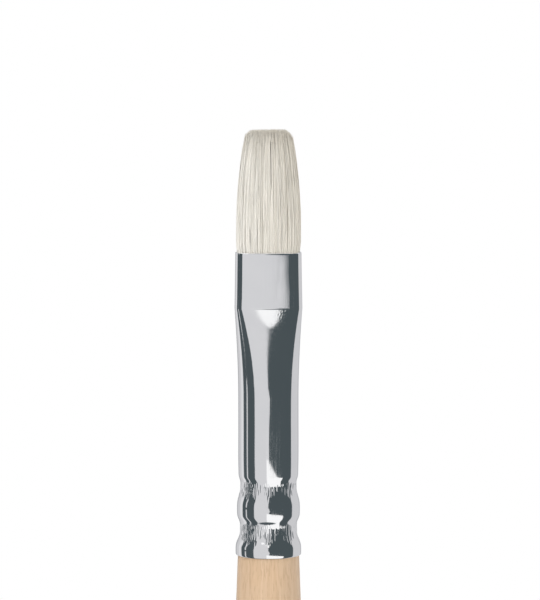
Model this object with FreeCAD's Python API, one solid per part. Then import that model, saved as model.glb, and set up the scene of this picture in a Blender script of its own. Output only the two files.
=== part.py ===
import FreeCAD, Part
import math
import os
from FreeCAD import Vector

# A flat artist's brush: a turned wooden handle, a seamless ferrule and a bristle tuft.
# The butt of the handle stands on the origin and +Z runs along the brush to the bristle tips.
# The broad face looks along -Y and the width runs along X. All sizes are in millimetres.

# Lengths along the brush.
HANDLE_SHOWN = 230.1  # from the butt to the ferrule's lower edge
FERRULE_LENGTH = 49.9
TUFT_LENGTH = 20.0  # bristle outside the mouth

# Ferrule: a round tube pressed flat at its mouth.
TUBE_DIAMETER = 10.0
FERRULE_WALL = 0.3
MOUTH_WIDTH = 10.9
CREASE_WIDTH = 11.22  # widest place, where the pressed flat ends
FLAT_THICKNESS = 4.6
CREASE_DEPTH = 9.2  # below the mouth
ROUND_DEPTH = 23.5  # below the mouth, where the tube is round
SPREAD_POWER = 1.8  # how quickly the flat opens out into the round
JOIN_ANGLE = 85.0  # where an oval's side arcs meet its end arcs, in degrees above its long axis
RIM_ROUNDING = 0.1

# Crimped end: heights are measured up from the ferrule's lower edge, and the
# flare, rise and depths of its lands from the surface of the round tube.
LIP_FLARE = 0.41
LIP_TOP = 1.4
LOWER_GROOVE_DEPTH = 0.28
LOWER_GROOVE_FLOOR = (3.7, 5.0)
BEAD_RISE = 0.2
BEAD_TOP = (6.7, 8.4)
UPPER_GROOVE_DEPTH = 0.34
UPPER_GROOVE_FLOOR = (11.05, 11.9)
TUBE_START = 13.25

# Handle.
GRIP_DIAMETER = 11.7
GRIP_LENGTH = 12.0  # the short straight length at the thickest place
GRIP_BELOW_FERRULE = 29.0
BUTT_DIAMETER = 4.5
NECK_PULL = (0.31, 0.39)  # shares of the neck's length and swell at the first control point
SWELL_END = 0.69  # share of the neck's length at the second control point
TAPER_PULL = (0.29, 0.62)  # shares of the taper's length at its two control points
TAPER_WAIST = 0.27  # share of the taper's narrowing still left at the second control point
TENON_GAP = 0.09  # between the wood and the inside of the ferrule
TENON_ROOM = 1.0  # above the tenon's tip, up to the resin or the start of the opening-out zone
TENON_CONE_LENGTH = 3.2
TENON_CONE_TAKE_IN = 0.5  # on each side, at the tenon's tip

# Adhesive round the cone of the tenon.
GLUE_HEIGHT = 2.7
GLUE_GAP = 0.03

# Bristle bundle inside the ferrule, with its thread and resin one below the other.
ROOT_TOP_DEPTH = 0.3  # below the mouth
PACKING_GAP = 0.05
BUNDLE_SIDE_ROOM = 0.1  # between the tied bundle and the narrowest width of the tube
GATHER_LENGTH = 2.6  # from the crease down to where the bundle is at its narrowest
THREAD_DIAMETER = 0.36
THREAD_TURNS = 4
THREAD_PITCH = 0.4
THREAD_BELOW_GATHER = 0.6
THREAD_GAP = 0.02
PLUG_BELOW_THREAD = 1.6
PLUG_LENGTH = 7.0
PLUG_GAP = 0.03
ROOTS_IN_PLUG = 5.0

# Tuft.
TUFT_SPREAD = 0.13  # past the inside of the mouth, at each end of its width
TUFT_SWELL = 0.2  # past the inside of the mouth, on each broad face
TUFT_TIP_NARROWING = 3.4  # how much narrower the tuft is at its tip
TUFT_WIDTH_POWER = 2.7
TUFT_EDGE_THICKNESS = 1.7
TUFT_THICKNESS_POWER = 2.2
TUFT_CORNER = 0.8  # rounding of the top corners
TUFT_STATIONS = (0.0, 0.25, 0.5, 0.72, 0.88)
FLEX_LIMIT = 35.0  # degrees each way
FLEX_LIFT = 0.15  # room under the tuft at the flex limit
CRADLE_GAP = 0.2

# Worked out from the sizes above.
FERRULE_END_Z = HANDLE_SHOWN
MOUTH_Z = FERRULE_END_Z + FERRULE_LENGTH
TIP_Z = MOUTH_Z + TUFT_LENGTH
TUBE_RADIUS = TUBE_DIAMETER / 2
BORE_RADIUS = TUBE_RADIUS - FERRULE_WALL
BUNDLE_DEPTH = CREASE_DEPTH + GATHER_LENGTH  # below the mouth, as the next four are
THREAD_DEPTH = BUNDLE_DEPTH + THREAD_BELOW_GATHER
PLUG_TOP_DEPTH = THREAD_DEPTH + (THREAD_TURNS - 1) * THREAD_PITCH + PLUG_BELOW_THREAD
PLUG_BOTTOM_DEPTH = PLUG_TOP_DEPTH + PLUG_LENGTH
ROOT_BOTTOM_DEPTH = PLUG_TOP_DEPTH + ROOTS_IN_PLUG
TENON_LENGTH = FERRULE_LENGTH - max(ROUND_DEPTH, PLUG_BOTTOM_DEPTH) - TENON_ROOM
TENON_RADIUS = BORE_RADIUS - TENON_GAP
TENON_TIP_RADIUS = TENON_RADIUS - TENON_CONE_TAKE_IN
BUNDLE_HALF_WIDTH = (
    min(TUBE_DIAMETER, CREASE_WIDTH, MOUTH_WIDTH) / 2 - FERRULE_WALL - BUNDLE_SIDE_ROOM
)
BUNDLE_HALF_THICKNESS = FLAT_THICKNESS / 2 - FERRULE_WALL - PACKING_GAP
TUFT_WIDTH = MOUTH_WIDTH + 2 * (TUFT_SPREAD - FERRULE_WALL)
TUFT_THICKNESS = FLAT_THICKNESS + 2 * (TUFT_SWELL - FERRULE_WALL)
ROLL_RADIUS = TUFT_THICKNESS / 2
PIVOT_Z = MOUTH_Z + ROLL_RADIUS * math.sin(math.radians(FLEX_LIMIT)) + FLEX_LIFT
OVERRUN = 1.0  # how far a cutting shape runs past the face it cuts


def oval(half_width, half_thickness, z):
    """A closed wire of four tangent arcs, which make one circle where both halves are equal."""
    join = math.radians(JOIN_ANGLE)
    crown = math.tan(math.pi / 4 - join / 2)
    end_radius = (half_thickness - half_width * crown) / (1 - crown)
    x = half_width - end_radius * (1 - math.cos(join))
    y = end_radius * math.sin(join)
    corners = [Vector(x, -y, z), Vector(x, y, z), Vector(-x, y, z), Vector(-x, -y, z)]
    middles = [
        Vector(half_width, 0, z),
        Vector(0, half_thickness, z),
        Vector(-half_width, 0, z),
        Vector(0, -half_thickness, z),
    ]
    arcs = []
    for i in range(4):
        arc = Part.Arc(corners[i], middles[i], corners[(i + 1) % 4])
        arcs.append(arc.toShape())
    return Part.Wire(arcs)


def solid_through(sections, ruled=False):
    """A closed solid through (half width, half thickness, z) ovals."""
    wires = [oval(*section) for section in sections]
    return Part.makeLoft(wires, True, ruled)


def prism(half_width, half_thickness, z_low, z_high):
    """A straight oval block."""
    face = Part.Face(oval(half_width, half_thickness, z_low))
    return face.extrude(Vector(0, 0, z_high - z_low))


def ferrule_section(depth, inset):
    """The ferrule's oval at a depth below the mouth, drawn in by inset."""
    if depth <= CREASE_DEPTH:
        width = MOUTH_WIDTH + (CREASE_WIDTH - MOUTH_WIDTH) * depth / CREASE_DEPTH
        thickness = FLAT_THICKNESS
    else:
        run = min(1.0, (depth - CREASE_DEPTH) / (ROUND_DEPTH - CREASE_DEPTH))
        opened = 1 - (1 - run) ** SPREAD_POWER
        width = CREASE_WIDTH + (TUBE_DIAMETER - CREASE_WIDTH) * opened
        thickness = FLAT_THICKNESS + (TUBE_DIAMETER - FLAT_THICKNESS) * opened
    return (width / 2 - inset, thickness / 2 - inset, MOUTH_Z - depth)


def spread_zone(top_depth, bottom_depth, inset, steps=6):
    """The solid inside the ferrule's opening-out zone, between two depths."""
    depths = [top_depth + (bottom_depth - top_depth) * i / steps for i in range(steps + 1)]
    return solid_through([ferrule_section(depth, inset) for depth in depths])


def crimp_lands():
    """(start, end, radius) of each straight land, up from the ferrule's lower edge."""
    return [
        (0.0, LIP_TOP, TUBE_RADIUS + LIP_FLARE),
        (*LOWER_GROOVE_FLOOR, TUBE_RADIUS - LOWER_GROOVE_DEPTH),
        (*BEAD_TOP, TUBE_RADIUS + BEAD_RISE),
        (*UPPER_GROOVE_FLOOR, TUBE_RADIUS - UPPER_GROOVE_DEPTH),
    ]


def crimp_edges(inset, top, below=0.0):
    """The side line of the crimped end: straight lands joined by S-curves, ending at height top."""
    lands = crimp_lands() + [(TUBE_START, top, TUBE_RADIUS)]
    edges = []
    start = Vector(lands[0][2] - inset, 0, FERRULE_END_Z - below)
    for i, (low, high, radius) in enumerate(lands):
        end = Vector(radius - inset, 0, FERRULE_END_Z + high)
        edges.append(Part.LineSegment(start, end).toShape())
        if i + 1 < len(lands):
            start = Vector(lands[i + 1][2] - inset, 0, FERRULE_END_Z + lands[i + 1][0])
            pull = Vector(0, 0, (start.z - end.z) / 2)
            edges.append(curve([end, end + pull, start - pull, start]))
    return edges


def curve(poles):
    """A Bezier edge."""
    bezier = Part.BezierCurve()
    bezier.setPoles(poles)
    return bezier.toShape()


def turned(edges):
    """A solid turned about the brush's axis from a side line that runs upwards."""
    low = edges[0].Vertexes[0].Point
    high = edges[-1].Vertexes[-1].Point
    closing = [Vector(0, 0, high.z), Vector(0, 0, low.z)]
    sides = [Part.LineSegment(high, closing[0]).toShape()]
    sides.append(Part.LineSegment(closing[0], closing[1]).toShape())
    if low.x > 0:
        sides.append(Part.LineSegment(closing[1], low).toShape())
    face = Part.Face(Part.Wire(edges + sides))
    return face.revolve(Vector(0, 0, 0), Vector(0, 0, 1), 360)


def rolling_base(grow):
    """The underside of the tuft: its oval at the pivot, turned half a turn about the hinge axis."""
    half_width = TUFT_WIDTH / 2 + grow
    half_thickness = ROLL_RADIUS + grow
    whole = Part.Face(oval(half_width, half_thickness, PIVOT_Z))
    side = Part.makeBox(
        4 * half_width, 2 * half_thickness, 2, Vector(-2 * half_width, 0, PIVOT_Z - 1)
    )
    half = whole.common(side).Faces[0]
    return half.revolve(Vector(0, 0, PIVOT_Z), Vector(1, 0, 0), -180)


def tuft_section(share):
    """The tuft's oval at a share of the way from the pivot to the tip."""
    width = TUFT_WIDTH - TUFT_TIP_NARROWING * share**TUFT_WIDTH_POWER
    thinning = TUFT_THICKNESS - TUFT_EDGE_THICKNESS
    thickness = TUFT_THICKNESS - thinning * share**TUFT_THICKNESS_POWER
    return (width / 2, thickness / 2, PIVOT_Z + (TIP_Z - PIVOT_Z) * share)


def make_ferrule():
    """The plated tube: flat mouth, opening-out zone, round tube and crimped end."""
    tube_top = FERRULE_LENGTH - ROUND_DEPTH
    skins = []
    for inset, over in ((0.0, 0.0), (FERRULE_WALL, OVERRUN)):
        mouth_x, mouth_y, mouth_z = ferrule_section(0, inset)
        flat = [(mouth_x, mouth_y, mouth_z), ferrule_section(CREASE_DEPTH, inset)]
        skin = solid_through(flat, True)
        skin = skin.fuse(spread_zone(CREASE_DEPTH, ROUND_DEPTH, inset))
        skin = skin.fuse(turned(crimp_edges(inset, tube_top, over)))
        if over:
            skin = skin.fuse(prism(mouth_x, mouth_y, mouth_z, mouth_z + over))
        skins.append(skin)
    ferrule = skins[0].cut(skins[1]).removeSplitter()
    return ferrule.makeFillet(RIM_ROUNDING, outer_rims(ferrule))


def outer_rims(ferrule):
    """The outer edges of the ferrule's two ends."""
    rims = []
    for edge in ferrule.Edges:
        box = edge.BoundBox
        level = box.ZMax - box.ZMin < 1e-6
        at_end = min(abs(box.ZMin - FERRULE_END_Z), abs(box.ZMin - MOUTH_Z)) < 1e-6
        if level and at_end and is_outer(edge):
            rims.append(edge)
    return rims


def is_outer(edge):
    """Whether a rim edge lies on the ferrule's outside rather than its inside."""
    middle = edge.valueAt((edge.FirstParameter + edge.LastParameter) / 2)
    if abs(middle.z - FERRULE_END_Z) < 1e-6:
        return math.hypot(middle.x, middle.y) > TUBE_RADIUS + LIP_FLARE - FERRULE_WALL / 2
    half_width, half_thickness, _ = ferrule_section(0, FERRULE_WALL / 2)
    return abs(middle.x) > half_width or abs(middle.y) > half_thickness


def butt_and_taper(grip_low):
    """The handle's side line from the rounded butt up to the grip."""
    grip_r = GRIP_DIAMETER / 2
    butt_r = BUTT_DIAMETER / 2
    corner = butt_r * math.sqrt(0.5)
    middle = Vector(corner, 0, butt_r - corner)
    butt_top = Vector(butt_r, 0, butt_r)
    butt = Part.Arc(Vector(0, 0, 0), middle, butt_top)
    taper = grip_low - butt_r
    waist_r = butt_r + (grip_r - butt_r) * TAPER_WAIST
    poles = [
        butt_top,
        Vector(waist_r, 0, grip_low - taper * TAPER_PULL[1]),
        Vector(grip_r, 0, grip_low - taper * TAPER_PULL[0]),
        Vector(grip_r, 0, grip_low),
    ]
    return [butt.toShape(), curve(poles)]


def grip_and_neck(grip_low, grip_top):
    """The handle's side line from the foot of the grip up to the ferrule's lower edge."""
    grip_r = GRIP_DIAMETER / 2
    neck_r = TENON_RADIUS + LIP_FLARE
    grip_end = Vector(grip_r, 0, grip_top)
    near_r = neck_r + (grip_r - neck_r) * NECK_PULL[1]
    poles = [
        grip_end,
        Vector(grip_r, 0, FERRULE_END_Z - GRIP_BELOW_FERRULE * SWELL_END),
        Vector(near_r, 0, FERRULE_END_Z - GRIP_BELOW_FERRULE * NECK_PULL[0]),
        Vector(neck_r, 0, FERRULE_END_Z),
    ]
    grip = Part.LineSegment(Vector(grip_r, 0, grip_low), grip_end)
    return [grip.toShape(), curve(poles)]


def make_handle():
    """The turned wood, from its rounded butt up to the tip of the tenon."""
    grip_top = FERRULE_END_Z - GRIP_BELOW_FERRULE
    grip_low = grip_top - GRIP_LENGTH
    edges = butt_and_taper(grip_low) + grip_and_neck(grip_low, grip_top)
    edges += crimp_edges(FERRULE_WALL + TENON_GAP, TENON_LENGTH - TENON_CONE_LENGTH)
    shoulder = edges[-1].Vertexes[-1].Point
    tip = Vector(TENON_TIP_RADIUS, 0, FERRULE_END_Z + TENON_LENGTH)
    edges.append(Part.LineSegment(shoulder, tip).toShape())
    return turned(edges)


def make_handle_glue():
    """The adhesive that fills the wedge between the tenon's cone and the tube."""
    outer = BORE_RADIUS - GLUE_GAP
    top = FERRULE_END_Z + TENON_LENGTH
    low = top - GLUE_HEIGHT
    low_r = TENON_TIP_RADIUS + TENON_CONE_TAKE_IN * GLUE_HEIGHT / TENON_CONE_LENGTH
    corners = [
        Vector(low_r + GLUE_GAP, 0, low),
        Vector(outer, 0, low),
        Vector(outer, 0, top),
        Vector(TENON_TIP_RADIUS + GLUE_GAP, 0, top),
    ]
    face = Part.Face(Part.makePolygon(corners + corners[:1]))
    return face.revolve(Vector(0, 0, 0), Vector(0, 0, 1), 360)


def make_bristle_roots():
    """The bundle inside the ferrule, hollowed at its top so that the tuft can roll in it."""
    inset = FERRULE_WALL + PACKING_GAP
    bound = (BUNDLE_HALF_WIDTH, BUNDLE_HALF_THICKNESS)
    packed = [ferrule_section(ROOT_TOP_DEPTH, inset), ferrule_section(CREASE_DEPTH, inset)]
    gathered = [packed[1], (*bound, MOUTH_Z - BUNDLE_DEPTH)]
    roots = solid_through(packed, True)
    roots = roots.fuse(solid_through(gathered, True))
    roots = roots.fuse(prism(*bound, MOUTH_Z - ROOT_BOTTOM_DEPTH, MOUTH_Z - BUNDLE_DEPTH))
    return roots.cut(rolling_base(CRADLE_GAP)).removeSplitter()


def make_binding_thread():
    """Turns of thread lying side by side round the tied bundle."""
    reach = THREAD_DIAMETER / 2 + THREAD_GAP
    turns = []
    for i in range(THREAD_TURNS):
        z = MOUTH_Z - THREAD_DEPTH - i * THREAD_PITCH
        path = oval(BUNDLE_HALF_WIDTH + reach, BUNDLE_HALF_THICKNESS + reach, z)
        start = path.Edges[0].Vertexes[0].Point
        along = path.Edges[0].tangentAt(path.Edges[0].FirstParameter)
        ring = Part.makeCircle(THREAD_DIAMETER / 2, start, along)
        turns.append(path.makePipeShell([Part.Wire(ring)], True, True))
    return Part.makeCompound(turns)


def make_epoxy_plug():
    """The set resin round the lower roots, closed below them."""
    plug = spread_zone(PLUG_TOP_DEPTH, PLUG_BOTTOM_DEPTH, FERRULE_WALL + PLUG_GAP)
    pocket = prism(
        BUNDLE_HALF_WIDTH + PLUG_GAP,
        BUNDLE_HALF_THICKNESS + PLUG_GAP,
        MOUTH_Z - ROOT_BOTTOM_DEPTH - PLUG_GAP,
        MOUTH_Z - PLUG_TOP_DEPTH + OVERRUN,
    )
    return plug.cut(pocket)


def make_bristle_tuft():
    """The bristles outside the ferrule, as one solid that rolls at its base."""
    sections = [tuft_section(share) for share in TUFT_STATIONS]
    half_width, half_thickness, _ = tuft_section(1.0)
    shoulder = tuft_section(1.0 - TUFT_CORNER / (TIP_Z - PIVOT_Z))
    crown = (half_width - TUFT_CORNER, half_thickness * 0.6, TIP_Z)
    body = solid_through(sections + [shoulder])
    body = body.fuse(solid_through([shoulder, crown], True))
    return body.fuse(rolling_base(0.0)).removeSplitter()


PIECES = {
    "handle": make_handle,
    "handle_glue": make_handle_glue,
    "ferrule": make_ferrule,
    "epoxy_plug": make_epoxy_plug,
    "binding_thread": make_binding_thread,
    "bristle_roots": make_bristle_roots,
    "bristle_tuft": make_bristle_tuft,
}

os.makedirs("parts", exist_ok=True)
for name, make in PIECES.items():
    shape = make()
    shape.exportStep("parts/" + name + ".step")
    print(name, len(shape.Solids), shape.isValid(), round(shape.Volume, 2))
print("pivot height", round(PIVOT_Z, 3))
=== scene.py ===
import math

import bpy
import numpy as np
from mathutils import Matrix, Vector


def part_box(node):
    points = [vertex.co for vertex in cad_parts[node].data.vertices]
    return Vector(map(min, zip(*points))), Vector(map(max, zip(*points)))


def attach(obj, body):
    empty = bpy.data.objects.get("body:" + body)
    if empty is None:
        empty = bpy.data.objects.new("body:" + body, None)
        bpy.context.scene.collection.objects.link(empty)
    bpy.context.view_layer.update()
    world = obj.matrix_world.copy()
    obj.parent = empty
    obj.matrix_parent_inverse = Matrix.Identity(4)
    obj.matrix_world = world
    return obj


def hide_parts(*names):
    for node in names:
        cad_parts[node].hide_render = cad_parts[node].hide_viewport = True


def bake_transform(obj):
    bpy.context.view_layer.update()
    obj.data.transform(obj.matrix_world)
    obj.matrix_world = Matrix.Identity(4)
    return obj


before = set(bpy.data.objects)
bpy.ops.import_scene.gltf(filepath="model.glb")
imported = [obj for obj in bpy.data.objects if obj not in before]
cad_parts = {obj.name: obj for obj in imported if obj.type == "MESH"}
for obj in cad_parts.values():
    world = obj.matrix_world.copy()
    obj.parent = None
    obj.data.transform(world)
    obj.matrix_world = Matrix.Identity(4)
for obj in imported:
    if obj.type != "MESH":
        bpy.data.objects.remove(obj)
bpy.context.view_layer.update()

# A flat artist's brush, standing on its butt with the bristles up. +Z runs along the brush,
# X across the flat of the tuft, and the broad face looks along -Y. Lengths are in metres.
MM = 0.001

FERRULE_LOW, FERRULE_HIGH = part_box("ferrule")
TUFT_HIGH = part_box("bristle_tuft")[1]
FOOT_Z = FERRULE_LOW.z
MOUTH_Z = FERRULE_HIGH.z
TUFT_LENGTH = TUFT_HIGH.z - MOUTH_Z
FERRULE_LENGTH = MOUTH_Z - FOOT_Z

# Ferrule: a round tube pressed flat at its mouth.
WALL = 0.3 * MM
TUBE_RADIUS = 5.0 * MM
MOUTH_HALF_WIDTH = 5.45 * MM
CREASE_HALF_WIDTH = FERRULE_HIGH.x
FLAT_HALF_THICKNESS = 2.3 * MM
CREASE_DEPTH = 9.2 * MM
ROUND_DEPTH = 23.5 * MM
SPREAD_POWER = 1.8
JOIN_ANGLE = math.radians(87.3)

# Crimped end, as (start, end, rise over the tube) up from the ferrule's lower edge.
LANDS = (
    (0.0, 1.4 * MM, 0.41 * MM),
    (3.7 * MM, 5.0 * MM, -0.28 * MM),
    (6.7 * MM, 8.4 * MM, 0.2 * MM),
    (11.05 * MM, 11.9 * MM, -0.34 * MM),
    (13.25 * MM, FERRULE_LENGTH, 0.0),
)
LIP, LOWER_GROOVE, BEAD, UPPER_GROOVE, TUBE = LANDS
CROWN_DEPTH = 0.022 * MM
WAIST_LENGTH = 4.2 * MM
WAIST_DEPTH = 0.055 * MM

# Small unevenness of the ferrule's surface.
FOLD_HEIGHT = 0.0040 * MM
WAVINESS_HEIGHT = 0.0035 * MM
CREASE_PRESS = 0.0035 * MM
TOOL_MARK_HEIGHT = 0.00035 * MM
FERRULE_COLUMNS = 544
FERRULE_SEED = 11

# Bristles.
BRISTLE_RADIUS = 0.061 * MM
BRISTLE_SPACING = 0.108 * MM
BRISTLE_SIDES = 4
BRISTLE_RINGS = 12
ROOT_DEPTH = 2.2 * MM
FLAGS_PER_BRISTLE = 2
FLAG_SIDES = 3
ROOT_HALF_WIDTH = 5.07 * MM
ROOT_HALF_THICKNESS = 1.93 * MM
CORNER_HEIGHT = 0.945 * TUFT_LENGTH  # where a hair's place across tells how its tip is trimmed
SHORT_SHARE = 0.22
TUFT_SEED = 20
# How far hairs stray at their tips, in mm: across the tuft, then through it.
LEAN, BOW, CURL = 0.080, 0.050, 0.022
LEAN_THROUGH, BOW_THROUGH = 0.035, 0.012
# Thin partings between the front bristles, as (place across the mouth, lowest, highest, half width).
PARTINGS = (
    (0.47 * MM, 10.0 * MM, 18.9 * MM, 0.085 * MM),
    (-2.85 * MM, 0.2 * MM, 4.8 * MM, 0.062 * MM),
    (2.3 * MM, 9.0 * MM, 14.0 * MM, 0.035 * MM),
)


# ---------------------------------------------------------------- mesh helpers


def mesh_piece(name, points, faces, material):
    """A mesh object at the origin from an (n, 3) array of points and a list of (m, corners) face arrays."""
    mesh = bpy.data.meshes.new(name)
    corners = np.concatenate([face.ravel() for face in faces]).astype(np.int32)
    sizes = np.concatenate([np.full(len(face), face.shape[1]) for face in faces])
    starts = np.concatenate([[0], np.cumsum(sizes)[:-1]]).astype(np.int32)
    mesh.vertices.add(len(points))
    mesh.vertices.foreach_set("co", points.astype(np.float32).ravel())
    mesh.loops.add(len(corners))
    mesh.loops.foreach_set("vertex_index", corners)
    mesh.polygons.add(len(sizes))
    mesh.polygons.foreach_set("loop_start", starts)
    mesh.polygons.foreach_set("use_smooth", np.ones(len(sizes), bool))
    mesh.update(calc_edges=True)
    mesh.validate()
    piece = bpy.data.objects.new(name, mesh)
    bpy.context.scene.collection.objects.link(piece)
    mesh.materials.append(material)
    return piece


def point_values(piece, name, values):
    """Stores one number per point under a name that a material reads."""
    layer = piece.data.attributes.new(name, "FLOAT", "POINT")
    layer.data.foreach_set("value", values.astype(np.float32).ravel())


def smooth(low, high, x):
    """An S-shaped step from 0 below low to 1 above high: 3t squared less 2t cubed."""
    t = np.clip((x - low) / (high - low), 0.0, 1.0)
    return t * t * (3.0 - 2.0 * t)


def ring_faces(rows, columns, wrap_rows=False):
    """Four-cornered faces between neighbouring rows of a grid whose columns close on themselves."""
    row = np.arange(rows if wrap_rows else rows - 1)[:, None]
    column = np.arange(columns)[None, :]
    after = (column + 1) % columns
    above = (row + 1) % rows
    corners = [row * columns + column, row * columns + after]
    corners += [above * columns + after, above * columns + column]
    return np.stack(corners, axis=-1).reshape(-1, 4)


# ---------------------------------------------------------------- shader helpers


def add(tree, kind, inputs=None, **settings):
    """Adds a node, makes its settings, and gives each input a value or another node's output."""
    made = tree.nodes.new("ShaderNode" + kind)
    for key, value in settings.items():
        setattr(made, key, value)
    for key, value in (inputs or {}).items():
        if isinstance(value, bpy.types.NodeSocket):
            tree.links.new(value, made.inputs[key])
        else:
            made.inputs[key].default_value = value
    return made


def calc(tree, operation, a, b=0.0, clamp=False):
    """The output of a Math node."""
    return add(tree, "Math", {0: a, 1: b}, operation=operation, use_clamp=clamp).outputs[0]


def mapped(tree, value, low, high, to_low, to_high):
    """A number moved from one range to another, held within it."""
    inputs = {"Value": value, "From Min": low, "From Max": high}
    inputs.update({"To Min": to_low, "To Max": to_high})
    return add(tree, "MapRange", inputs, clamp=True).outputs["Result"]


def mixed(tree, factor, a, b, blend="MIX"):
    """The output of a colour mix."""
    made = add(tree, "Mix", data_type="RGBA", blend_type=blend)
    for key, value in ((0, factor), (6, a), (7, b)):
        if isinstance(value, bpy.types.NodeSocket):
            tree.links.new(value, made.inputs[key])
        else:
            made.inputs[key].default_value = value
    return made.outputs[2]


def ramp(tree, factor, stops):
    """A colour ramp through (place, colour) stops."""
    made = add(tree, "ValToRGB", {"Fac": factor})
    points = made.color_ramp.elements
    while len(points) < len(stops):
        points.new(0.5)
    for point, (place, colour) in zip(points, stops):
        point.position = place
        point.color = colour
    return made.outputs["Color"]


def new_group(name, inputs, outputs):
    """An empty shader node group with named number or vector sockets."""
    group = bpy.data.node_groups.new(name, "ShaderNodeTree")
    kinds = {float: "NodeSocketFloat", tuple: "NodeSocketVector"}
    for label, default in inputs:
        made = group.interface.new_socket(label, in_out="INPUT", socket_type=kinds[type(default)])
        made.default_value = default
    for label in outputs:
        group.interface.new_socket(label, in_out="OUTPUT", socket_type="NodeSocketFloat")
    ends = group.nodes.new("NodeGroupInput"), group.nodes.new("NodeGroupOutput")
    return group, ends[0].outputs, ends[1].inputs


def lengthwise_streaks():
    """Group: thin lines that run along the brush, from noise squeezed across it."""
    inputs = [("Vector", (0.0, 0.0, 0.0)), ("Lines per mm", 3.0), ("Line length mm", 8.0)]
    inputs += [("Sharpness", 0.5), ("Seed", 0.0)]
    group, given, out = new_group("lengthwise streaks", inputs, ["Value"])
    along = calc(group, "DIVIDE", 1000.0, given["Line length mm"])
    across = calc(group, "MULTIPLY", 1000.0, given["Lines per mm"])
    scale = add(group, "CombineXYZ", {0: across, 1: across, 2: along}).outputs[0]
    place = add(group, "VectorMath", {0: given["Vector"], 1: scale}, operation="MULTIPLY").outputs[0]
    noise = add(
        group,
        "TexNoise",
        {"Vector": place, "W": given["Seed"], "Scale": 1.0, "Detail": 3.0},
        noise_dimensions="4D",
    ).outputs["Fac"]
    edge = calc(group, "MULTIPLY", calc(group, "SUBTRACT", 1.0, given["Sharpness"]), 0.25)
    low = calc(group, "SUBTRACT", 0.5, edge)
    high = calc(group, "ADD", 0.5, calc(group, "ADD", edge, 0.01))
    group.links.new(mapped(group, noise, low, high, 0.0, 1.0), out["Value"])
    return group


def soft_mottle():
    """Group: slow cloudy change over a surface, about one patch per size."""
    inputs = [("Vector", (0.0, 0.0, 0.0)), ("Patch mm", 4.0), ("Seed", 0.0)]
    group, given, out = new_group("soft mottle", inputs, ["Value"])
    scale = calc(group, "DIVIDE", 1000.0, given["Patch mm"])
    noise = add(
        group,
        "TexNoise",
        {"Vector": given["Vector"], "W": given["Seed"], "Scale": scale, "Detail": 2.0},
        noise_dimensions="4D",
    ).outputs["Fac"]
    group.links.new(mapped(group, noise, 0.3, 0.7, 0.0, 1.0), out["Value"])
    return group


STREAKS = lengthwise_streaks()
MOTTLE = soft_mottle()


def use_group(tree, group, place, **values):
    """Places a group in a material and returns its value. Underscores in names stand for spaces."""
    made = tree.nodes.new("ShaderNodeGroup")
    made.node_tree = group
    tree.links.new(place, made.inputs["Vector"])
    for key, value in values.items():
        made.inputs[key.replace("_", " ")].default_value = value
    return made.outputs["Value"]


def new_material(name, base, roughness, **plain):
    """A material with one Principled BSDF; plain values go on the shader's own sockets."""
    material = bpy.data.materials.new(name)
    material.use_nodes = True
    tree = material.node_tree
    shader = tree.nodes["Principled BSDF"]
    shader.inputs["Base Color"].default_value = (*base, 1.0)
    shader.inputs["Roughness"].default_value = roughness
    for key, value in plain.items():
        shader.inputs[key.replace("_", " ")].default_value = value
    place = add(tree, "TexCoord").outputs["Object"]
    return material, tree, shader, place


def bump(tree, shader, height, distance_mm, strength=1.0):
    """Feeds the shader's normal from a height that stands distance_mm tall."""
    inputs = {"Height": height, "Distance": distance_mm * MM, "Strength": strength}
    made = add(tree, "Bump", inputs)
    tree.links.new(made.outputs["Normal"], shader.inputs["Normal"])


# ---------------------------------------------------------------- materials


def nickel_plate():
    """Bright nickel plating with faint drawing lines and slow changes in polish."""
    material, tree, shader, place = new_material(
        "bright nickel plate", (0.90, 0.90, 0.905), 0.06, Metallic=1.0
    )
    lines = use_group(tree, STREAKS, place, Lines_per_mm=14.0, Line_length_mm=9.0, Sharpness=0.2)
    clouds = use_group(tree, MOTTLE, place, Patch_mm=6.0, Seed=3.0)
    scratch = mapped(tree, lines, 0.5, 1.0, 0.0, 0.11)
    rough = calc(tree, "ADD", scratch, calc(tree, "MULTIPLY", clouds, 0.02))
    tree.links.new(calc(tree, "ADD", rough, 0.03), shader.inputs["Roughness"])
    tint = mixed(tree, clouds, (0.91, 0.91, 0.915, 1.0), (0.875, 0.88, 0.89, 1.0))
    tree.links.new(tint, shader.inputs["Base Color"])
    bump(tree, shader, lines, 0.0006, 0.6)
    return material


def beech():
    """Pale clear-finished beech: soft bands, fine grain lines and short darker ray flecks."""
    material, tree, shader, place = new_material(
        "clear finished beech", (0.66, 0.48, 0.31), 0.42, Coat_Weight=0.12, Coat_Roughness=0.25
    )
    bands = use_group(tree, STREAKS, place, Lines_per_mm=0.55, Line_length_mm=60.0, Sharpness=0.0)
    grain = use_group(
        tree, STREAKS, place, Lines_per_mm=3.2, Line_length_mm=14.0, Sharpness=0.1, Seed=5.0
    )
    flecks = use_group(
        tree, STREAKS, place, Lines_per_mm=4.5, Line_length_mm=2.2, Sharpness=0.6, Seed=9.0
    )
    clouds = use_group(tree, MOTTLE, place, Patch_mm=5.0, Seed=1.0)
    colour = mixed(tree, bands, (0.752, 0.555, 0.380, 1.0), (0.705, 0.480, 0.290, 1.0))
    colour = mixed(tree, calc(tree, "MULTIPLY", grain, 0.60), colour, (0.570, 0.370, 0.205, 1.0))
    few = mapped(tree, flecks, 0.66, 1.0, 0.0, 0.42)
    colour = mixed(tree, few, colour, (0.470, 0.290, 0.155, 1.0))
    colour = mixed(tree, calc(tree, "MULTIPLY", clouds, 0.25), colour, (0.720, 0.545, 0.400, 1.0))
    tree.links.new(colour, shader.inputs["Base Color"])
    tree.links.new(mapped(tree, grain, 0.0, 1.0, 0.36, 0.50), shader.inputs["Roughness"])
    bump(tree, shader, grain, 0.006, 0.5)
    return material


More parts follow.
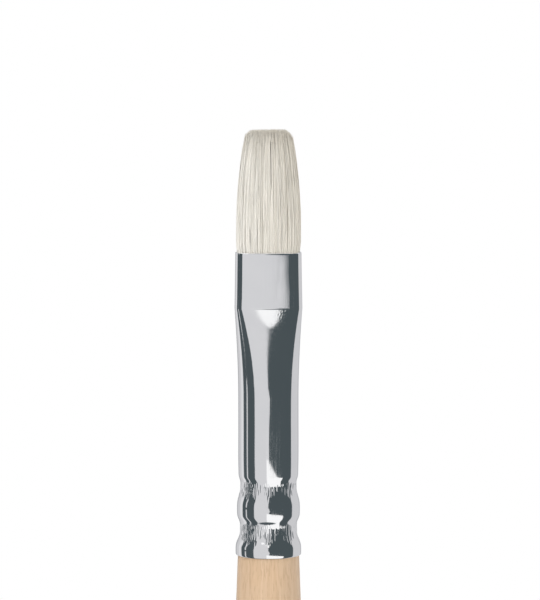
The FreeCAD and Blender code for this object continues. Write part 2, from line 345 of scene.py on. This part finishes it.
def hog_bristle():
    """Bleached hog bristle: each hair has its own random tone, plus painted side shade that darkens the
    tuft towards +X and painted shade that darkens it towards the tips.
    """
    material, tree, shader, place = new_material(
        "bleached hog bristle", (0.75, 0.71, 0.62), 0.5, Specular_IOR_Level=0.12
    )
    # The per-hair tone holds random tone plus painted side shade, darker towards +X.
    shade = add(tree, "Attribute", attribute_name="hair tone and painted side shade").outputs["Fac"]
    height = add(tree, "Attribute", attribute_name="hair height").outputs["Fac"]
    lines = use_group(tree, STREAKS, place, Lines_per_mm=9.0, Line_length_mm=0.9, Sharpness=0.2)
    colour = mixed(tree, shade, (0.795, 0.748, 0.660, 1.0), (0.960, 0.935, 0.875, 1.0))
    # Painted shade: over the top three tenths of the tuft the hairs darken towards a browner grey.
    painted_tip_shade = mapped(tree, height, 0.7, 1.0, 0.0, 0.35)
    colour = mixed(tree, painted_tip_shade, colour, (0.660, 0.605, 0.515, 1.0))
    colour = mixed(tree, calc(tree, "MULTIPLY", lines, 0.32), colour, (0.700, 0.640, 0.540, 1.0))
    tree.links.new(colour, shader.inputs["Base Color"])
    tree.links.new(mapped(tree, lines, 0.0, 1.0, 0.38, 0.52), shader.inputs["Roughness"])
    return material


def tied_bristle():
    """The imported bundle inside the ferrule, where single hairs show only as lines."""
    material, tree, shader, place = new_material("packed hog bristle", (0.6, 0.55, 0.46), 0.55)
    lines = use_group(tree, STREAKS, place, Lines_per_mm=6.0, Line_length_mm=12.0, Sharpness=0.6)
    colour = mixed(tree, lines, (0.420, 0.370, 0.290, 1.0), (0.720, 0.680, 0.590, 1.0))
    tree.links.new(colour, shader.inputs["Base Color"])
    bump(tree, shader, lines, 0.05)
    return material


def set_resin(name, colour, dark, seed):
    """Amber resin or glue that has set clear, with cloudy depth."""
    material, tree, shader, place = new_material(name, colour, 0.2, Coat_Weight=0.4)
    clouds = use_group(tree, MOTTLE, place, Patch_mm=1.5, Seed=seed)
    tree.links.new(mixed(tree, clouds, (*colour, 1.0), (*dark, 1.0)), shader.inputs["Base Color"])
    tree.links.new(mapped(tree, clouds, 0.0, 1.0, 0.12, 0.3), shader.inputs["Roughness"])
    bump(tree, shader, clouds, 0.02)
    return material


def cotton_thread():
    """Waxed cotton thread with a fine fibrous surface."""
    material, tree, shader, place = new_material(
        "waxed cotton thread", (0.8, 0.77, 0.7), 0.75, Sheen_Weight=0.3
    )
    fibres = use_group(tree, MOTTLE, place, Patch_mm=0.12, Seed=2.0)
    colour = mixed(tree, fibres, (0.700, 0.660, 0.580, 1.0), (0.860, 0.840, 0.780, 1.0))
    tree.links.new(colour, shader.inputs["Base Color"])
    bump(tree, shader, fibres, 0.03)
    return material


def pale_floor():
    """A plain pale table."""
    material, tree, shader, place = new_material("pale table", (0.94, 0.94, 0.94), 0.7)
    clouds = use_group(tree, MOTTLE, place, Patch_mm=40.0)
    colour = mixed(tree, clouds, (0.945, 0.945, 0.945, 1.0), (0.93, 0.93, 0.93, 1.0))
    tree.links.new(colour, shader.inputs["Base Color"])
    return material


# ---------------------------------------------------------------- ferrule


def oval_point(share, half_width, half_thickness):
    """A point on an oval of four tangent arcs, by its share of the way round from the +X end.

    Two small arcs close the ends and two large ones make the sides; they meet where the outward
    normal stands JOIN_ANGLE from the long axis. The way round is divided evenly by length.
    Returns x, y and the outward normal's angle.
    """
    crown = math.tan(math.pi / 4 - JOIN_ANGLE / 2)
    end_radius = (half_thickness - half_width * crown) / (1 - crown)
    end_x = half_width - end_radius
    side_y = end_x * math.tan(JOIN_ANGLE)
    side_radius = end_radius + end_x / math.cos(JOIN_ANGLE)
    end_arc = end_radius * JOIN_ANGLE
    side_arc = side_radius * (math.pi - 2 * JOIN_ANGLE)
    run = share * (4 * end_arc + 2 * side_arc)
    angle = np.clip(run, 0, end_arc) / end_radius
    gone = end_arc
    for length, radius in (
        (side_arc, side_radius),
        (2 * end_arc, end_radius),
        (side_arc, side_radius),
        (end_arc, end_radius),
    ):
        angle = angle + np.clip(run - gone, 0, length) / radius
        gone = gone + length
    cos, sin = np.cos(angle), np.sin(angle)
    on_end = np.abs(cos) > math.cos(JOIN_ANGLE)
    x = np.where(on_end, np.sign(cos) * end_x + end_radius * cos, side_radius * cos)
    y = np.where(on_end, end_radius * sin, side_radius * sin - np.sign(sin) * side_y)
    return x, y, angle


def ferrule_halves(depth):
    """Half width and half thickness of the tube at a depth below the mouth, before the crimps."""
    above = np.clip(depth / CREASE_DEPTH, 0.0, 1.0)
    run = np.clip((depth - CREASE_DEPTH) / (ROUND_DEPTH - CREASE_DEPTH), 0.0, 1.0)
    opened = 1.0 - (1.0 - run) ** SPREAD_POWER
    half_width = MOUTH_HALF_WIDTH + (CREASE_HALF_WIDTH - MOUTH_HALF_WIDTH) * above
    half_width = half_width + (TUBE_RADIUS - CREASE_HALF_WIDTH) * opened
    half_thickness = FLAT_HALF_THICKNESS + (TUBE_RADIUS - FLAT_HALF_THICKNESS) * opened
    return half_width, half_thickness


def crimp_rise(depth):
    """How far the crimped end stands out from the plain tube.

    Level lands are joined by S-shaped steps. The lip and the bead are crowned, falling off as the
    square from their middles, and the tube draws in slightly before the upper groove.
    """
    height = FERRULE_LENGTH - depth
    rise = np.full_like(height, LIP[2])
    for (_, low, before), (high, _, after) in zip(LANDS, LANDS[1:]):
        rise = rise + (after - before) * smooth(low, high, height)
    for low, high, _ in (LIP, BEAD):
        middle, half = (low + high) / 2, (high - low) / 2
        rise = rise - CROWN_DEPTH * np.clip(((height - middle) / half) ** 2, 0, 1.5)
    waist = np.clip((TUBE[0] + WAIST_LENGTH - height) / WAIST_LENGTH, 0, 1) ** 2
    return rise - WAIST_DEPTH * waist * smooth(UPPER_GROOVE[1], TUBE[0], height)


def crimp_marks(depth, around, rng):
    """Fine upright folds pressed into the two grooves by the crimping jaws.

    Waves of many counts round the tube, a little slanted and added with random phases, times a
    window on each groove.
    """
    height = FERRULE_LENGTH - depth
    marks = np.zeros_like(depth + around)
    for low, high, _ in (LOWER_GROOVE, UPPER_GROOVE):
        window = smooth(low - 1.9 * MM, low, height) * smooth(high + 0.6 * MM, high, height)
        waves = np.zeros_like(depth + around)
        for count in rng.integers(36, 125, 24):
            lean = rng.uniform(-2.6, 2.6) / MM
            waves = waves + np.cos(count * around + lean * height + rng.uniform(0, 2 * math.pi))
        marks = marks + window * waves
    return marks


def hand_waviness(depth, around, rng):
    """Slow unevenness that pressed tube has: a few long waves with random directions."""
    waves = np.zeros_like(depth + around)
    for _ in range(7):
        turns = rng.integers(1, 5)
        length = rng.uniform(7, 22) * MM
        phase = rng.uniform(0, 2 * math.pi)
        waves = waves + np.cos(turns * around + 2 * math.pi * depth / length + phase)
    return waves


def ferrule_rows():
    """The tube's side line as (depth, inset) rows: down the outside, round the foot, up the inside.

    Rows stand closer at the rims, at the crease and over the crimps.
    """
    rim = WALL / 2
    last = FERRULE_LENGTH / MM - 0.15
    zones = (
        (0.15, 0.6, 3), (0.6, 8.8, 12), (8.8, 9.7, 14), (9.7, 11.4, 10),
        (11.4, 24.0, 24), (24.0, 33.4, 5), (33.4, 49.0, 84), (49.0, last, 4),
    )
    depths = [np.linspace(start, end, count, endpoint=False) for start, end, count in zones]
    outside = np.append(np.concatenate(depths), last) * MM
    turn = np.linspace(0, math.pi, 7)[1:-1]
    foot = FERRULE_LENGTH - rim + rim * np.sin(turn)
    foot_inset = rim - rim * np.cos(turn)
    inside = MM * np.array([last, 48.5, 46.2, 44.9, 43.2, 41.5, 38.8, 38.0, 36.6, 23.5, 16.0, 9.2, 0.15])
    mouth = rim - rim * np.sin(turn)
    mouth_inset = rim + rim * np.cos(turn)
    depth = np.concatenate([outside, foot, inside, mouth])
    inset = np.concatenate([0 * outside, foot_inset, 0 * inside + WALL, mouth_inset])
    return depth, inset


def crease_press(depth, x, rng):
    """The shallow line that the press leaves where the flat ends, with small slanted tool marks.

    A narrow bell across the depth, cut off towards the edges of the face. The marks are a few short
    waves across the face, strongest on its right, in a window just below the line.
    """
    line = np.exp(-(((depth - CREASE_DEPTH) / (0.13 * MM)) ** 2))
    press = -CREASE_PRESS * line * smooth(3.9 * MM, 3.2 * MM, np.abs(x))
    below = smooth(-0.15 * MM, 0.1 * MM, depth - CREASE_DEPTH)
    below = below * smooth(1.9 * MM, 0.9 * MM, depth - CREASE_DEPTH)
    side = smooth(0.6 * MM, 1.6 * MM, x) * smooth(3.6 * MM, 3.1 * MM, x)
    marks = np.zeros_like(x + depth)
    for _ in range(6):
        width = rng.uniform(0.35, 0.8) * MM
        slant = rng.uniform(-0.5, 1.3)
        phase = rng.uniform(0, 2 * math.pi)
        marks = marks + np.cos(2 * math.pi * (x + slant * depth) / width + phase)
    return press + TOOL_MARK_HEIGHT * marks * below * side


def make_ferrule(material):
    """The plated tube as one closed wall: an oval carried down its side line and back up inside."""
    rng = np.random.default_rng(FERRULE_SEED)
    depth, inset = ferrule_rows()
    depth, inset = depth[:, None], inset[:, None]
    share = (np.arange(FERRULE_COLUMNS) / FERRULE_COLUMNS)[None, :]
    half_width, half_thickness = ferrule_halves(depth)
    x, y, angle = oval_point(share, half_width, half_thickness)
    around = np.broadcast_to(2 * math.pi * share, x.shape)
    out = crimp_rise(depth) - inset
    out = out + FOLD_HEIGHT * crimp_marks(depth, around, rng)
    out = out + WAVINESS_HEIGHT * hand_waviness(depth, around, rng)
    out = out + crease_press(depth, x, rng)
    x = x + out * np.cos(angle)
    y = y + out * np.sin(angle)
    z = np.broadcast_to(MOUTH_Z - depth, x.shape)
    points = np.stack([x, y, z], axis=-1).reshape(-1, 3)
    faces = ring_faces(len(depth), FERRULE_COLUMNS, wrap_rows=True)[:, ::-1]
    piece = mesh_piece("plated_ferrule", points, [faces], material)
    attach(piece, "brush")
    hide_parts("ferrule")


# ---------------------------------------------------------------- bristles


def tuft_half_width(height):
    """Half the tuft's width: it swells a little out of the mouth, then draws in ever faster."""
    t = np.clip(height / TUFT_LENGTH, -0.2, 1.05)
    swell = 0.21 * MM * smooth(0.0, 1.6 * MM, height)
    return ROOT_HALF_WIDTH + swell - 1.68 * MM * np.clip(t, 0, None) ** 2.6


def tuft_half_thickness(height):
    """Half the tuft's thickness, from the flat mouth up to its thin edge."""
    t = np.clip(height / TUFT_LENGTH, -0.2, 1.05)
    swell = 0.2 * MM * smooth(0.0, 3.0 * MM, height)
    return ROOT_HALF_THICKNESS + swell - 1.25 * MM * np.clip(t, 0, None) ** 2.2


def top_edge(x):
    """Height of the trimmed edge over the mouth: level, with corners rounded as quarter ovals."""
    begin = np.where(x < 0, 2.55 * MM, 2.45 * MM)
    past = np.clip((np.abs(x) - begin) / (1.5 * MM), 0, 0.98)
    return TUFT_LENGTH - 0.40 * MM + 0.012 * x - 1.8 * MM * (1 - np.sqrt(1 - past**2))


def bristle_roots(rng):
    """Where each bristle leaves the mouth, as shares of the half width and half thickness.

    A staggered grid with random shifts, kept where it falls inside the mouth's oval.
    """
    half_width, half_thickness = ROOT_HALF_WIDTH, ROOT_HALF_THICKNESS
    across = np.arange(-half_width, half_width, BRISTLE_SPACING)
    through = np.arange(-half_thickness, half_thickness, BRISTLE_SPACING * 0.866)
    x, y = np.meshgrid(across, through)
    x = x + (np.arange(len(through))[:, None] % 2) * BRISTLE_SPACING / 2
    x, y = x.ravel(), y.ravel()
    x = x + rng.normal(0, 0.3, x.size) * BRISTLE_SPACING
    y = y + rng.normal(0, 0.3, y.size) * BRISTLE_SPACING
    end_x = half_width - half_thickness
    past = np.clip(np.abs(x) - end_x, 0, None)
    keep = past**2 + y**2 < half_thickness**2
    return x[keep] / half_width, y[keep] / half_thickness


def lock_drift(x, y, height, rng):
    """Sideways drift that neighbouring bristles share, so that they gather in small locks.

    A sum of slow waves over the mouth and the height, growing from nothing at the mouth.
    """
    drift = np.zeros_like(height)
    grow = smooth(0.0, 8.0 * MM, height)
    for _ in range(9):
        kx = rng.uniform(1.2, 4.2) / MM
        ky = rng.uniform(0.5, 3.0) / MM
        kz = rng.uniform(0.05, 0.28) / MM
        phase = rng.uniform(0, 2 * math.pi)
        drift = drift + np.cos(kx * x + ky * y + kz * height + phase) / (kx * MM)
    return drift * grow


def bristle_lines(share_x, share_y, length, start, rings, rng):
    """Centre lines of bristles, (bristles, rings, 3), from start to length above the mouth."""
    count = len(share_x)
    t = np.linspace(0, 1, rings)[None, :]
    height = start[:, None] + (length - start)[:, None] * t
    x0 = (share_x * ROOT_HALF_WIDTH)[:, None]
    y0 = (share_y * ROOT_HALF_THICKNESS)[:, None]
    x = share_x[:, None] * tuft_half_width(height)
    y = share_y[:, None] * tuft_half_thickness(height)
    x = x + 0.003 * MM * lock_drift(x0, y0, height, rng)
    y = y + 0.002 * MM * lock_drift(y0 + 7 * MM, x0, height, rng)
    wander = smooth(0.0, 6.0 * MM, height)
    lean = rng.normal(0, 1, (count, 1))
    lean_y = rng.normal(0, 1, (count, 1))
    bow = rng.normal(0, 1, (count, 1))
    phase = rng.uniform(0, 2 * math.pi, (count, 1))
    reach = height / TUFT_LENGTH
    curl = rng.normal(0, 1, (count, 1))
    sway = LEAN * lean * reach + BOW * bow * np.sin(5 * reach + phase)
    sway = sway + CURL * curl * np.sin(11 * reach + 2 * phase)
    y = y + wander * MM * (LEAN_THROUGH * lean_y * reach + BOW_THROUGH * bow * np.sin(13 * reach + phase))
    front = smooth(0.6, 0.1, share_y)[:, None]
    for place, low, high, wide in PARTINGS:
        window = smooth(low, low + 1.2 * MM, height) * smooth(high, high - 1.2 * MM, height)
        near = front * window * np.exp(-(((x0 - place) / (0.35 * MM)) ** 2))
        sway = sway * (1 - near)
        x = x + np.where(x0 > place, wide, -wide) * near
    x = x + wander * MM * sway
    return np.stack([x, y, MOUTH_Z + height], axis=-1), height


def tubes(lines, radius, sides):
    """Closed tapered tubes round centre lines: (points, faces).

    Rings lie level, which is near enough for upright hairs; a point at each end closes them.
    """
    count, rings, _ = lines.shape
    turn = 2 * math.pi * np.arange(sides) / sides
    spin = np.linspace(0, 2 * math.pi, count, endpoint=False)[:, None, None] * 7
    turn = turn[None, None, :] + spin
    x = lines[:, :, None, 0] + radius[:, :, None] * np.cos(turn)
    y = lines[:, :, None, 1] + radius[:, :, None] * np.sin(turn)
    z = np.broadcast_to(lines[:, :, None, 2], x.shape)
    body = np.stack([x, y, z], axis=-1).reshape(count, rings * sides, 3)
    foot = lines[:, 0, :] - np.array([0, 0, 0.5]) * radius[:, :1]
    tip = lines[:, -1, :] + np.array([0, 0, 2.0]) * radius[:, -1:]
    points = np.concatenate([body, foot[:, None], tip[:, None]], axis=1)
    per = rings * sides + 2
    offset = (np.arange(count) * per)[:, None, None]
    quads = (ring_faces(rings, sides)[None] + offset).reshape(-1, 4)
    j = np.arange(sides)
    after = (j + 1) % sides
    low = np.stack([after, j, np.full(sides, per - 2)], axis=-1)
    top = (rings - 1) * sides
    high = np.stack([top + j, top + after, np.full(sides, per - 1)], axis=-1)
    ends = (np.concatenate([low, high])[None] + offset).reshape(-1, 3)
    return points.reshape(-1, 3), [quads, ends], per


def hair_piece(name, lines, height, radius, sides, shade, material):
    """One mesh of many hairs, with a tone per hair that also holds painted side shade, and a height per
    point for its material.
    """
    points, faces, per = tubes(lines, radius, sides)
    piece = mesh_piece(name, points, faces, material)
    point_values(piece, "hair tone and painted side shade", np.repeat(shade, per))
    share = np.repeat(np.clip(height / TUFT_LENGTH, 0, 1), sides, axis=1)
    ends = np.stack([share[:, 0], share[:, -1]], axis=1)
    point_values(piece, "hair height", np.concatenate([share, ends], axis=1))
    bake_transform(piece)
    return piece


def make_bristles(material):
    """The tuft, hair by hair: two layers of whole bristles and their split, softer tips."""
    rng = np.random.default_rng(TUFT_SEED)
    share_x, share_y = bristle_roots(rng)
    count = len(share_x)
    tip_x = share_x * tuft_half_width(np.array(CORNER_HEIGHT))
    length = top_edge(tip_x) - np.abs(rng.normal(0, 0.16, count)) * MM
    short = rng.random(count) < SHORT_SHARE
    length = length - short * rng.uniform(0.2, 3.0, count) * MM
    start = -ROOT_DEPTH + rng.uniform(0, 0.4, count) * MM
    lines, height = bristle_lines(share_x, share_y, length, start, BRISTLE_RINGS, rng)
    thick = BRISTLE_RADIUS * np.clip(rng.normal(1, 0.14, count), 0.7, 1.4)
    reach = np.clip(height / TUFT_LENGTH, 0, 1)
    radius = thick[:, None] * (1 - 0.45 * reach**1.5)
    radius[:, -1] *= 0.55
    # A random tone per hair, less painted side shade: hairs towards +X, away from the key lamp, are darker.
    shade = np.clip(rng.normal(0.52, 0.12, count) - 0.42 * share_x, 0, 1)
    front = share_y < 0
    for name, part in (("bristles_front", front), ("bristles_back", ~front)):
        hair_piece(
                name, lines[part], height[part], radius[part], BRISTLE_SIDES, shade[part], material
            )
    make_flags(lines, radius, shade, rng, material)
    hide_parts("bristle_tuft")


def make_flags(lines, radius, shade, rng, material):
    """The natural split ends: each bristle's tip parts into finer hairs that lean away from it."""
    count = len(lines) * FLAGS_PER_BRISTLE
    tips = np.repeat(lines[:, -1], FLAGS_PER_BRISTLE, axis=0)
    before = np.repeat(lines[:, -2], FLAGS_PER_BRISTLE, axis=0)
    way = (tips - before) / (tips - before)[:, 2:3]
    t = np.linspace(0, 1, 3)[None, :, None]
    long = rng.uniform(0.1, 0.5, (count, 1, 1)) * MM
    base = tips - way * 0.5 * MM
    lean = rng.normal(0, 0.055, (count, 1, 3))
    lean[:, :, 2] = 0
    flags = base[:, None] + (way[:, None] + lean * t) * (0.5 * MM + long) * t
    tall = flags[:, :, 2] - MOUTH_Z
    width = np.repeat(radius[:, -2], FLAGS_PER_BRISTLE)[:, None] * (0.62 - 0.42 * t[:, :, 0])
    # Split ends are paler than their bristle and keep its painted side shade.
    tones_and_painted_side_shade = np.clip(np.repeat(shade, FLAGS_PER_BRISTLE) + 0.15, 0, 1)
    return hair_piece("bristle_flags", flags, tall, width, FLAG_SIDES, tones_and_painted_side_shade, material)


# ---------------------------------------------------------------- studio


def studio_light():
    """Soft studio light as a world: panels told apart by their compass angle and their height.

    The angle runs from the broad face's side, positive to the right. Rays straight from the camera
    see plain white, so the object stands before a clean backdrop.
    """
    world = bpy.data.worlds.new("studio")
    bpy.context.scene.world = world
    world.use_nodes = True
    tree = world.node_tree
    background = tree.nodes["Background"]
    way = add(tree, "SeparateXYZ", {0: add(tree, "TexCoord").outputs["Generated"]}).outputs
    back = calc(tree, "MULTIPLY", way[1], -1.0)
    angle = calc(tree, "MULTIPLY", calc(tree, "ARCTAN2", way[0], back), 180 / math.pi)
    tall = calc(tree, "MULTIPLY", calc(tree, "ARCSINE", way[2]), 180 / math.pi)
    past = calc(tree, "MAXIMUM", calc(tree, "ADD", angle, 6.0), 0.0)
    slant = calc(tree, "ADD", tall, calc(tree, "MULTIPLY", past, 0.04))
    around = calc(tree, "ADD", calc(tree, "DIVIDE", angle, 360.0), 0.5)
    colour = None
    for edge, soft, bands in ROWS:
        row = band_ramp(tree, around, bands)
        step = mapped(tree, slant, edge - soft, edge + soft, 0.0, 1.0)
        colour = row if colour is None else mixed(tree, step, colour, row)
    for place, reach, shade in ROUND_LAMPS:
        aside = calc(tree, "DIVIDE", calc(tree, "SUBTRACT", angle, place[0]), reach[0])
        over = calc(tree, "DIVIDE", calc(tree, "SUBTRACT", tall, place[1]), reach[1])
        over = calc(tree, "POWER", calc(tree, "ABSOLUTE", over), 4.0)
        far = calc(tree, "ADD", calc(tree, "MULTIPLY", aside, aside), over)
        colour = mixed(tree, mapped(tree, far, 0.88, 1.12, 1.0, 0.0), colour, (*shade, 1.0))
    colour = mixed(tree, mapped(tree, tall, 62.0, 72.0, 0.0, 1.0), colour, (*CEILING, 1.0))
    straight = add(tree, "LightPath").outputs["Is Camera Ray"]
    colour = mixed(tree, straight, colour, (1.0, 1.0, 1.0, 1.0))
    tree.links.new(colour, background.inputs["Color"])


GREY_PANEL = (0.70, 0.70, 0.715)
DARK_FLAG = (0.072, 0.090, 0.098)
SIDE_SCREEN = (0.64, 0.64, 0.655)
PALE_SCREEN = (0.77, 0.77, 0.785)
DIM_SCREEN = (0.50, 0.50, 0.52)
WHITE = (1.05, 1.05, 1.05)
CEILING = (1.55, 1.55, 1.55)
SOFTBOX = (1.45, 1.45, 1.45)

# What stands round the brush at each height, as (angle at the band's right edge, colour) from -180
# degrees round to +180.
SCREENS_LEFT = (
    (-173, PALE_SCREEN), (-166, DARK_FLAG), (-150, DIM_SCREEN), (-128, SIDE_SCREEN), (-111, PALE_SCREEN),
)
SCREENS_RIGHT = ((150, SIDE_SCREEN), (165, DIM_SCREEN), (180, PALE_SCREEN))
GAP = ((-92, DARK_FLAG), (-87, GREY_PANEL), (-54, DARK_FLAG))


def front_bands(grey_edge, left=GAP):
    """A row whose grey panel in front of the brush ends at grey_edge, with the given bands on its left."""
    return (*SCREENS_LEFT, *left, (grey_edge, GREY_PANEL), (97, DARK_FLAG), *SCREENS_RIGHT)


NO_GAP = ((-54, DARK_FLAG),)
DEEP_BANDS = (*SCREENS_LEFT, (97, DARK_FLAG), *SCREENS_RIGHT)
FOOT_BANDS = (*SCREENS_LEFT, *GAP, (-7, GREY_PANEL), (56, WHITE), (97, DARK_FLAG), *SCREENS_RIGHT)
HIGH_BANDS = ((-90, WHITE), (-8, SOFTBOX), (97, DARK_FLAG), (180, WHITE))
# (lowest height of the row in degrees, half its soft edge, bands), from the table upwards.
ROWS = (
    (-90, 1.0, DEEP_BANDS),
    (-51, 1.0, FOOT_BANDS),
    (-9.8, 0.12, front_bands(2)),
    (-7.5, 0.15, front_bands(5)),
    (-6.95, 0.15, front_bands(5, NO_GAP)),
    (-5.9, 0.15, front_bands(3, NO_GAP)),
    (-4.6, 0.15, front_bands(2)),
    (-2.0, 1.0, front_bands(-0.3)),
    (38, 1.5, HIGH_BANDS),
)
# Round lamps, as (place, reach, colour), the first two in degrees round and up.
ROUND_LAMPS = (
    ((0.2, 31.5), (2.8, 6.6), WHITE),
)


def band_ramp(tree, angle, bands):
    """A ramp of level colours with narrow soft steps between neighbouring bands."""
    stops = [(0.0, (*bands[0][1], 1.0))]
    soft = 0.35
    for (edge, colour), (_, after) in zip(bands, bands[1:]):
        stops.append(((edge - soft + 180) / 360, (*colour, 1.0)))
        stops.append(((edge + soft + 180) / 360, (*after, 1.0)))
    return ramp(tree, angle, stops)


def make_lamp(name, place, size, power):
    """A square soft lamp aimed at the brush; polished metal doesn't mirror it."""
    data = bpy.data.lights.new(name, "AREA")
    data.size = size
    data.energy = power
    lamp = bpy.data.objects.new(name, data)
    bpy.context.scene.collection.objects.link(lamp)
    lamp.location = Vector(place)
    aim = Vector((0, 0, MOUTH_Z)) - lamp.location
    lamp.rotation_mode = "QUATERNION"
    lamp.rotation_quaternion = aim.to_track_quat("-Z", "Y")
    lamp.visible_glossy = False


def make_floor(material):
    """A round pale table top, 0.8 m to its edge."""
    columns, radii = 96, np.array([0.0005, 0.05, 0.2, 0.5, 0.8])
    turn = 2 * math.pi * np.arange(columns) / columns
    x = radii[:, None] * np.cos(turn)
    y = radii[:, None] * np.sin(turn)
    points = np.stack([x, y, 0 * x], axis=-1).reshape(-1, 3)
    faces = ring_faces(len(radii), columns)[:, ::-1]
    middle = np.arange(columns)[None, :]
    floor = mesh_piece("table_top", points, [faces, middle], material)
    floor.visible_glossy = False


def make_camera():
    """A long lens on the broad face, a little above it, with the tuft and ferrule in view."""
    view_height = 97.9 * MM
    distance = 0.85
    elevation = math.radians(7.0)
    target = Vector((0.25 * MM, 0, MOUTH_Z - 7.9 * MM))
    data = bpy.data.cameras.new("studio camera")
    data.sensor_width = 36.0
    data.lens = data.sensor_width / (view_height / distance)
    data.clip_start = 0.01
    camera = bpy.data.objects.new("studio camera", data)
    bpy.context.scene.collection.objects.link(camera)
    back = Vector((0, -math.cos(elevation), math.sin(elevation)))
    camera.location = target + back * distance
    camera.rotation_mode = "QUATERNION"
    camera.rotation_quaternion = (-back).to_track_quat("-Z", "Y")
    bpy.context.scene.camera = camera


def dress(node, material):
    """Gives a CAD node its finished material."""
    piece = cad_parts[node]
    for place in piece.material_slots:
        place.material = material


# ---------------------------------------------------------------- making it

bpy.context.scene.view_settings.view_transform = "Standard"
make_camera()
studio_light()
make_lamp("key lamp", (-0.44, -0.84, 0.74), 1.3, 5.6)
make_lamp("fill lamp", (0.8, -0.7, 0.45), 1.2, 4.3)
make_lamp("back lamp", (0.45, 0.95, 0.7), 1.0, 4.0)
make_floor(pale_floor())
make_ferrule(nickel_plate())
make_bristles(hog_bristle())
dress("handle", beech())
dress("bristle_roots", tied_bristle())
dress("binding_thread", cotton_thread())
resin = set_resin("set amber resin", (0.55, 0.42, 0.22), (0.40, 0.27, 0.11), 4.0)
dress("epoxy_plug", resin)
glue = set_resin("set adhesive", (0.62, 0.50, 0.30), (0.50, 0.38, 0.20), 6.0)
dress("handle_glue", glue)
